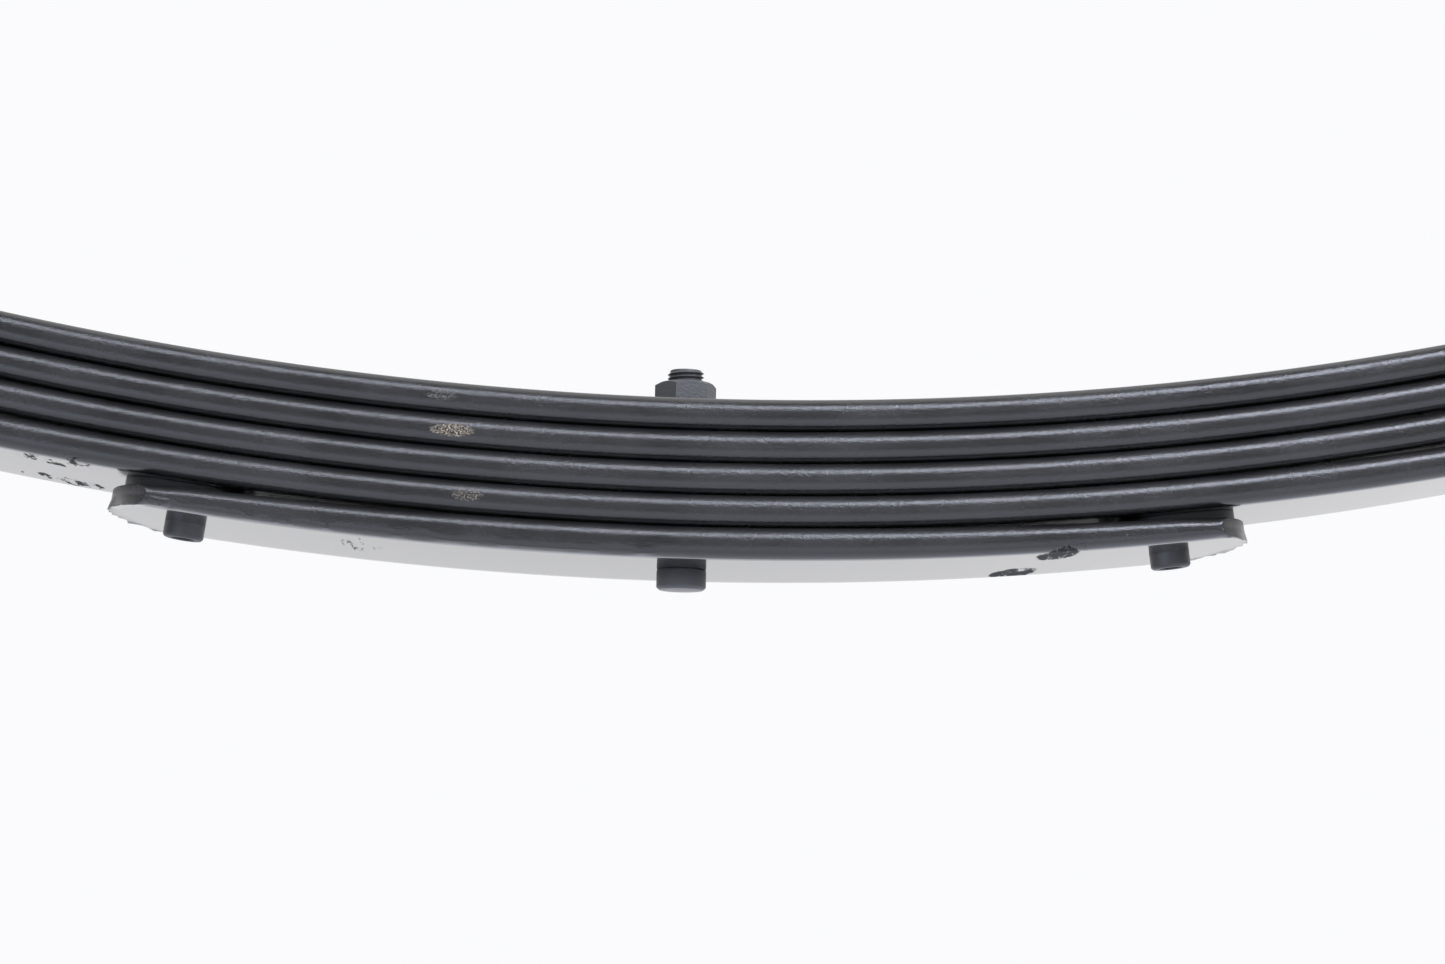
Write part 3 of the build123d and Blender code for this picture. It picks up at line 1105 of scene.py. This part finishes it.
@dataclass(frozen=True)
class MainLeaf:
    """The full-length leaf, whose ends curl up and back into the eyes.

    Attributes:
        radius: of its underside.
        eye_radius: inside radius of its eyes.
        wrap: how far an eye curls round.
        name: its CAD node.
    """

    radius: float = 945.0
    eye_radius: float = 19.0
    wrap: float = math.radians(305.0)
    name: str = "main_leaf"

    @property
    def low_point(self) -> float:
        """Height of its underside at the centre bolt."""
        return box_mm(self.name)[0].z

    @property
    def eye_centre(self) -> tuple[float, float]:
        """Centre of the rear eye, along and up."""
        low, high = box_mm("rear_bush_sleeve")
        return (low.x + high.x) / 2, (low.z + high.z) / 2

    @property
    def eye_angle(self) -> float:
        """The leaf's slope where the eye begins."""
        return math.asin(self.eye_centre[0] / (self.radius - STOCK.thickness - self.eye_radius))

    @property
    def track(self) -> Track:
        """The line of its underside: one long arc, then the outside of the eye."""
        curl = self.eye_radius + STOCK.thickness
        runs = ((self.radius * self.eye_angle, 1 / self.radius), (curl * self.wrap, 1 / curl))
        return Track((0.0, self.low_point), 0.0, runs)

    def build(self) -> bmesh.types.BMesh:
        """Makes the rear half of the leaf.

        Returns:
            Its mesh.
        """
        length = sum(run for run, _ in self.track.runs)
        bar = Bar(
            length, STOCK.width, STOCK.thickness, STOCK.edge_round, columns=6, station=2.3,
            belly=STOCK.belly, end_round=0.8,
        )
        bm = drilled(bar.build(), [(0.0, 0.0, STOCK.bolt_hole)], STOCK.thickness)
        self.track.bend(bm)
        return bm

    def dress(self, palette: Palette) -> None:
        """Makes both halves."""
        for end in End:
            bm = self.build()
            bmesh.ops.scale(bm, vec=(float(end.sign), 1.0, 1.0), verts=bm.verts)
            piece = finish_piece(bm, f"{self.name}_{end.value}_half", palette.leaf)
            ride_blend(piece)
            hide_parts(self.name)


@dataclass(frozen=True)
class CentreBolt:
    """The bolt that pins the leaves together: a round head below, a shank and a fine thread.

    Attributes:
        head_radius: of its head.
        head_height: of its head.
        shank_radius: of the plain part.
        thread_inset: from the head's side in to the thread's crests.
        pitch: of the thread.
        thread_length: from its end down to the plain part.
        nut_flats: width across the nut's flats.
        nut_turn: how far the nut is turned about the bolt.
    """

    head_radius: float = 6.5
    head_height: float = 5.3
    shank_radius: float = 4.7
    thread_inset: float = 1.76
    pitch: float = 1.058
    thread_length: float = 14.0
    nut_flats: float = 14.29
    nut_turn: float = math.radians(9.0)

    def dress(self, palette: Palette) -> None:
        """Makes the bolt and its nut, which ride on the clamped middle."""
        top = box_mm("centre_bolt")[1].z
        start = top - self.thread_length
        head, chamfer = self.head_radius, 0.7
        bm = turned([
            (0.0, -self.head_height), (head - chamfer - 0.25, -self.head_height),
            (head - chamfer, 0.06 - self.head_height), (head - 0.1, chamfer - self.head_height - 0.1),
            (head, chamfer - self.head_height + 0.15), (head, -0.35), (head - 0.15, -0.06),
            (head - 0.4, -0.02), (self.shank_radius, 0.0), (self.shank_radius, start),
            (self.shank_radius - 0.9, start + 0.9), (self.shank_radius - 0.9, start + 1.4),
            (0.0, start + 1.4),
        ], steps=72)
        crests = box_mm("centre_bolt")[1].y - self.thread_inset
        thread = Thread(crests, self.pitch, start + 0.6, top)
        add_to(bm, thread.build())
        bolt = finish_piece(bm, "centre_bolt_threaded", palette.fastener, THREAD_CREASE)
        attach(bolt, PACK_BODY)
        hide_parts("centre_bolt")

        low, high = box_mm("centre_nut")
        nut = HexBlock(self.nut_flats, high.z - low.z, thread.radius + 0.02).build()
        turn = Matrix.Rotation(self.nut_turn, 4, "Z")
        bmesh.ops.transform(nut, matrix=Matrix.Translation((0.0, 0.0, low.z)) @ turn, verts=nut.verts)
        piece = finish_piece(
            nut, "centre_nut_chamfered", palette.fastener, HEXAGON_CREASE
        )
        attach(piece, PACK_BODY)
        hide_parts("centre_nut")


@dataclass(frozen=True)
class EyeBush:
    """A rubber bush in an eye: a thin shell, the rubber, and a sleeve that turns with the pin.

    Attributes:
        eye_radius: inside radius of the eye.
        shell_wall: thickness of the shell.
        shell_length: of the shell.
        rubber_length: of the rubber.
        sleeve_radius: outside radius of the sleeve.
        sleeve_bore: radius of the hole for the pin.
        sleeve_length: of the sleeve.
    """

    eye_radius: float = 19.0
    shell_wall: float = 1.5
    shell_length: float = 63.5
    rubber_length: float = 61.0
    sleeve_radius: float = 10.3
    sleeve_bore: float = 7.15
    sleeve_length: float = 68.0

    def rings(self) -> dict[str, list[tuple[float, float]]]:
        """The profile of each ring, as radius and place along the eye, by the name of its CAD node."""
        shell, rubber, sleeve = self.shell_length / 2, self.rubber_length / 2, self.sleeve_length / 2
        inner = self.eye_radius - self.shell_wall
        bond = self.sleeve_radius + 0.02
        lip = [
            (inner - 0.02, 1.2), (inner - 0.5, 0.35), (inner - 1.3, 0.0), (inner - 2.2, 0.5),
            (inner - 3.1, 1.6), (bond + 2.9, 2.0), (bond + 2.1, 1.4), (bond + 1.2, 0.4),
            (bond + 0.5, 0.15), (bond, 0.5),
        ]
        return {
            "bush_shell": self._both_ends(
                [(self.eye_radius - 0.02, shell - 0.5), (self.eye_radius - 0.45, shell),
                 (inner + 0.35, shell), (inner, shell - 0.4)]
            ),
            "bush_rubber": self._both_ends([(radius, rubber - drop) for radius, drop in lip]),
            "bush_sleeve": self._both_ends(
                [(self.sleeve_radius, sleeve - 0.7), (self.sleeve_radius - 0.6, sleeve - 0.05),
                 (self.sleeve_radius - 0.8, sleeve), (self.sleeve_bore + 0.6, sleeve),
                 (self.sleeve_bore, sleeve - 0.6)]
            ),
        }

    def _both_ends(self, one: list[tuple[float, float]]) -> list[tuple[float, float]]:
        """Closes a profile with the same end on the other side."""
        return one + [(radius, -place) for radius, place in reversed(one)]

    def dress(self, palette: Palette) -> None:
        """Makes the rings of both eyes."""
        finishes = {
            "bush_shell": (palette.shell, Slot.SHELL, "half"),
            "bush_rubber": (palette.rubber, Slot.RUBBER, "half"),
            "bush_sleeve": (palette.sleeve, Slot.SLEEVE, "sleeve"),
        }
        for end in End:
            for ring, profile in self.rings().items():
                finish, slot, body = finishes[ring]
                low, high = box_mm(f"{end.value}_{ring}")
                centre = (low + high) / 2
                bm = turned(profile, ring=True, steps=96)
                place = Matrix.Translation(centre) @ Matrix.Rotation(math.pi / 2, 4, "X")
                bmesh.ops.transform(bm, matrix=place, verts=bm.verts)
                piece = finish_piece(bm, f"{end.value}_{ring}_ring", finish, ROUND_CREASE)
                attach(piece, f"{end.value}_{body}")
                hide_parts(f"{end.value}_{ring}")


@dataclass(frozen=True)
class ReboundClip:
    """A strap round the leaves, riveted under the third leaf, with a bolt in a tube over the main leaf.

    Attributes:
        leaf: the leaf that it is riveted to.
        length: how long the strap is along the leaf.
        thickness: of the strap.
        inner_width: between the strap's arms.
        bend: inside radius of the strap's bends.
        height: of the strap's arms over its inner face.
        top_round: radius of the corners at the arms' ends.
        bolt_height: of the bolt's middle over the strap's inner face.
        bolt_radius: of the bolt.
        bolt_hole: radius of the bolt's holes, and of the hole through the tube.
        tube_radius: outside radius of the spacer tube.
        hex_flats: width across flats of the bolt's head and its nut.
        head_height: of the bolt's head.
        nut_height: of the nut.
        stub: how far the bolt stands out of its nut.
        pitch: of the bolt's thread.
        rivet_radius: of the rivet's shank.
        rivet_head: radius of the rivet's domed head.
        rivet_head_height: of that head.
        rivet_sink: radius of the rivet's flush end.
        rivet_grip: from the strap's inner face to that end.
        sink_depth: how deep that end is sunk.
    """

    leaf: Leaf
    length: float = 25.4
    thickness: float = 5.0
    inner_width: float = 65.0
    bend: float = 3.0
    height: float = 47.0
    top_round: float = 9.0
    bolt_height: float = 36.0
    bolt_radius: float = 3.97
    bolt_hole: float = 4.2
    tube_radius: float = 7.0
    hex_flats: float = 12.7
    head_height: float = 5.3
    nut_height: float = 6.8
    stub: float = 3.0
    pitch: float = 1.27
    rivet_radius: float = 4.0
    rivet_head: float = 7.5
    rivet_head_height: float = 4.0
    rivet_sink: float = 6.5
    rivet_grip: float = 7.3
    sink_depth: float = 2.5

    def strap(self) -> bmesh.types.BMesh:
        """The strap, drilled and bent to a U.

        Returns:
            Its mesh, standing on Z 0 with the leaf along X.
        """
        arm, base = self.height - self.bend, self.inner_width - 2 * self.bend
        corner = self.bend * math.pi / 2
        runs = ((arm, 0.0), (corner, 1 / self.bend), (base, 0.0), (corner, 1 / self.bend), (arm, 0.0))
        total = sum(length for length, _ in runs)
        bm = bmesh.new()
        bmesh.ops.create_cube(bm, size=1.0)
        bmesh.ops.scale(bm, vec=(total, self.length, self.thickness), verts=bm.verts)
        upright = edges_where(bm, lambda e: abs(e.verts[0].co.z - e.verts[1].co.z) > 1.0)
        round_edges(bm, upright, self.top_round, 10)
        rim = edges_where(bm, lambda e: e.calc_face_angle(0.0) > 1.0)
        round_edges(bm, rim, 0.7, 3)
        bmesh.ops.translate(bm, vec=(total / 2, 0.0, -self.thickness / 2), verts=bm.verts)
        hole = self.height - self.bolt_height
        places = [(hole, 0.0, self.bolt_hole), (total - hole, 0.0, self.bolt_hole)]
        places.append((total / 2, 0.0, self.rivet_radius + 0.1))
        bm = drilled(bm, places, 2 * self.thickness)
        for start in (arm, arm + corner + base):
            for step in range(13):
                cut(bm, (start + corner * step / 12, 0.0, 0.0), (1.0, 0.0, 0.0))
        Track((-self.inner_width / 2, self.height), -math.pi / 2, runs).bend(bm)
        for vert in bm.verts:
            vert.co.x, vert.co.y = vert.co.y, vert.co.x
        return bm

    def rivet(self) -> bmesh.types.BMesh:
        """The rivet, domed under the strap and flush in the leaf."""
        head = self.thickness + self.rivet_head_height
        dome = [
            (self.rivet_head * math.sin(turn), -head + self.rivet_head_height * (1 - math.cos(turn)))
            for turn in (math.pi / 2 * step / 8 for step in range(9))
        ]
        return turned(dome + [
            (self.rivet_head - 0.3, 0.01 - self.thickness), (self.rivet_radius, 0.01 - self.thickness),
            (self.rivet_radius, self.rivet_grip - self.sink_depth), (self.rivet_sink, self.rivet_grip),
            (0.0, self.rivet_grip),
        ])

    def tube(self) -> bmesh.types.BMesh:
        """The spacer tube between the strap's arms."""
        half, inner = self.inner_width / 2, self.bolt_hole
        one = [(self.tube_radius, half - 0.4), (self.tube_radius - 0.4, half)]
        one += [(inner + 0.3, half), (inner, half - 0.3)]
        return turned(one + [(radius, -place) for radius, place in reversed(one)], ring=True)

    def bolt(self) -> bmesh.types.BMesh:
        """The bolt, lying along its own Z with its head at the lower end."""
        arm_face = self.inner_width / 2 + self.thickness
        bm = HexBlock(self.hex_flats, self.head_height).build()
        bmesh.ops.scale(bm, vec=(1.0, 1.0, -1.0), verts=bm.verts)
        bmesh.ops.recalc_face_normals(bm, faces=bm.faces)
        bmesh.ops.translate(bm, vec=(0.0, 0.0, -arm_face), verts=bm.verts)
        tip = arm_face + self.nut_height + self.stub
        start = arm_face - 4.0
        shank = self.bolt_radius - 0.02
        add_to(bm, turned([
            (0.0, -arm_face - 1.0), (shank, -arm_face - 1.0), (shank, start), (shank - 0.9, start + 0.9),
            (shank - 0.9, start + 1.4), (0.0, start + 1.4),
        ], steps=48))
        add_to(bm, Thread(self.bolt_radius, self.pitch, start + 0.6, tip).build())
        return bm

    def nut(self) -> bmesh.types.BMesh:
        """The nut, on the bolt's own Z."""
        bm = HexBlock(self.hex_flats, self.nut_height, self.bolt_radius + 0.02).build()
        bmesh.ops.translate(bm, vec=(0.0, 0.0, self.inner_width / 2 + self.thickness), verts=bm.verts)
        return bm

    def dress(self, palette: Palette) -> None:
        """Makes both clips, which ride on the spring's halves."""
        for end in End:
            seat = self.leaf.track.frame_at(self.leaf.clip_arc, end.sign)
            lift = Matrix.Translation((0.0, 0.0, self.bolt_height))
            pin = seat @ lift @ Matrix.Rotation(math.pi / 2, 4, "X")
            black, zinc = (palette.clip, Slot.CLIP), (palette.clip_fastener, Slot.CLIP_FASTENER)
            parts = (
                ("clip_strap", self.strap(), seat, black, BAR_CREASE),
                ("clip_rivet", self.rivet(), seat, black, ROUND_CREASE),
                ("clip_tube", self.tube(), pin, zinc, BAR_CREASE),
                ("clip_bolt", self.bolt(), pin, zinc, HEXAGON_CREASE),
                ("clip_nut", self.nut(), pin, zinc, HEXAGON_CREASE),
            )
            for name, bm, place, (finish, slot), crease in parts:
                bmesh.ops.transform(bm, matrix=place, verts=bm.verts)
                piece = finish_piece(bm, f"{end.value}_{name}_made", finish, crease)
                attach(piece, end.half)
                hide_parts(f"{end.value}_{name}")


# ---------------------------------------------------------------- the studio


@dataclass(frozen=True)
class Softbox:
    """A soft lamp.

    Attributes:
        name: its name.
        place: its middle, in metres.
        aim: what it points at.
        size: its width and height.
        power: in watts.
        colour: of its light.
    """

    name: str
    place: Point
    aim: Point
    size: tuple[float, float]
    power: float
    colour: str = "#ffffff"

    def light(self) -> None:
        """Puts the lamp in the studio."""
        lamp = bpy.data.lights.new(self.name, "AREA")
        lamp.shape = "RECTANGLE"
        lamp.size, lamp.size_y = self.size
        lamp.energy = self.power
        lamp.color = linear(self.colour)[:3]
        holder = bpy.data.objects.new(self.name, lamp)
        holder.location = self.place
        holder.visible_camera = False
        direction = Vector(self.aim) - Vector(self.place)
        holder.rotation_euler = direction.to_track_quat("-Z", "Y").to_euler()
        bpy.context.scene.collection.objects.link(holder)


@dataclass(frozen=True)
class Studio:
    """A plain pale room: a floor, a bright background, soft lamps and the camera.

    Attributes:
        floor_height: of the floor, in metres.
        floor_size: half the length of its sides.
        background: what the camera sees behind the spring.
        tones: light of the room from in front of the spring to behind it.
        lens: focal length of the camera, in millimetres.
        camera_place: where the camera stands, in metres.
        camera_right: its rightward direction.
        camera_up: its upward direction.
        lamps: the soft lamps.
    """

    floor_height: float = -0.34
    floor_size: float = 2.4
    background: str = "#fbfbfd"
    tones: tuple[tuple[float, str], ...] = ((0.0, "#c4c6ca"), (0.45, "#c8caca"), (0.75, "#fbfbfd"))
    lens: float = 82.80
    camera_place: Point = (-0.04894, -0.86366, -0.09259)
    camera_right: Point = (0.99721463, -0.07130607, 0.02187286)
    camera_up: Point = (-0.03111465, -0.13119294, 0.99086845)
    lamps: tuple[Softbox, ...] = (
        Softbox("right_softbox", (1.05, -1.2, 1.3), (0.15, 0.0, 0.05), (1.8, 0.42), 80.0, "#e9eeff"),
        Softbox("left_softbox", (-0.8, -1.2, 1.3), (-0.1, 0.0, 0.05), (1.8, 0.42), 33.0, "#e9eeff"),
        Softbox("low_left_strip", (-0.75, -0.75, -0.25), (-0.1, 0.0, 0.02), (1.1, 0.14), 1.6, "#cfe0ff"),
        Softbox("top_softbox", (0.0, 0.3, 1.8), (0.0, 0.0, 0.0), (2.4, 1.0), 6.0),
    )

    def set_up(self) -> None:
        """Builds the studio."""
        self._floor()
        self._surroundings()
        for lamp in self.lamps:
            lamp.light()
        self._camera()
        bpy.context.scene.view_settings.view_transform = "Standard"

    def _floor(self) -> None:
        """Lays a floor of matt white board."""
        bm = bmesh.new()
        bmesh.ops.create_grid(bm, x_segments=8, y_segments=8, size=self.floor_size)
        bmesh.ops.translate(bm, vec=(0.0, 0.0, self.floor_height), verts=bm.verts)
        mesh = bpy.data.meshes.new("floor")
        bm.to_mesh(mesh)
        bm.free()
        board = Grained("white_board", "#d2d2d5", "#d6d6d9", 400.0, (3.0, 3.0, 3.0), 0.01, (0.8, 0.9))
        mesh.materials.append(board.make())
        floor = bpy.data.objects.new("floor", mesh)
        bpy.context.scene.collection.objects.link(floor)

    def _surroundings(self) -> None:
        """Lights the room: pale to the eye, bright behind the spring and dim in front of it."""
        world = bpy.data.worlds.new("studio")
        bpy.context.scene.world = world
        world.use_nodes = True
        tree = world.node_tree
        tree.nodes.clear()
        across = node(tree, "SeparateXYZ", {0: node(tree, "TexCoord").outputs["Generated"]}).outputs["Y"]
        tone = ramp(tree, level(tree, across, -1.0, 1.0), self.tones)
        seen = node(tree, "Background", {"Color": linear(self.background), "Strength": 1.0}).outputs[0]
        lit = node(tree, "Background", {"Color": tone, "Strength": 1.0}).outputs[0]
        camera_ray = node(tree, "LightPath").outputs["Is Camera Ray"]
        both = node(tree, "MixShader", {0: camera_ray, 1: lit, 2: seen}).outputs[0]
        node(tree, "OutputWorld", {"Surface": both})

    def _camera(self) -> None:
        """Stands the camera in front of the spring, low and looking slightly up."""
        lens = bpy.data.cameras.new("camera")
        lens.lens = self.lens
        lens.sensor_width = 36.0
        camera = bpy.data.objects.new("camera", lens)
        right, up = Vector(self.camera_right), Vector(self.camera_up)
        turn = Matrix((right, up, right.cross(up))).transposed().to_4x4()
        camera.matrix_world = Matrix.Translation(self.camera_place) @ turn
        bpy.context.scene.collection.objects.link(camera)
        bpy.context.scene.camera = camera


def main() -> None:
    """Builds the spring and its studio."""
    Studio().set_up()
    palette = Palette()
    main_leaf = MainLeaf()
    above = [radius for _, radius in LEAF_RADII[1:]] + [main_leaf.radius]
    for (tag, radius), next_radius in zip(LEAF_RADII, above):
        leaf = Leaf(
            f"{tag}_leaf", radius, next_radius, paint_run=PAINT_RUN if tag == "short" else 0.0,
            clip_arc=CLIP_ARC if tag == "third" else 0.0,
        )
        leaf.dress(palette)
        TipLiner(leaf, tag, bends=tag in ("short", "fourth")).dress(palette)
        if tag == "third":
            ReboundClip(leaf).dress(palette)
    main_leaf.dress(palette)
    CentreBolt().dress(palette)
    EyeBush().dress(palette)


if __name__ == "__main__":
    main()
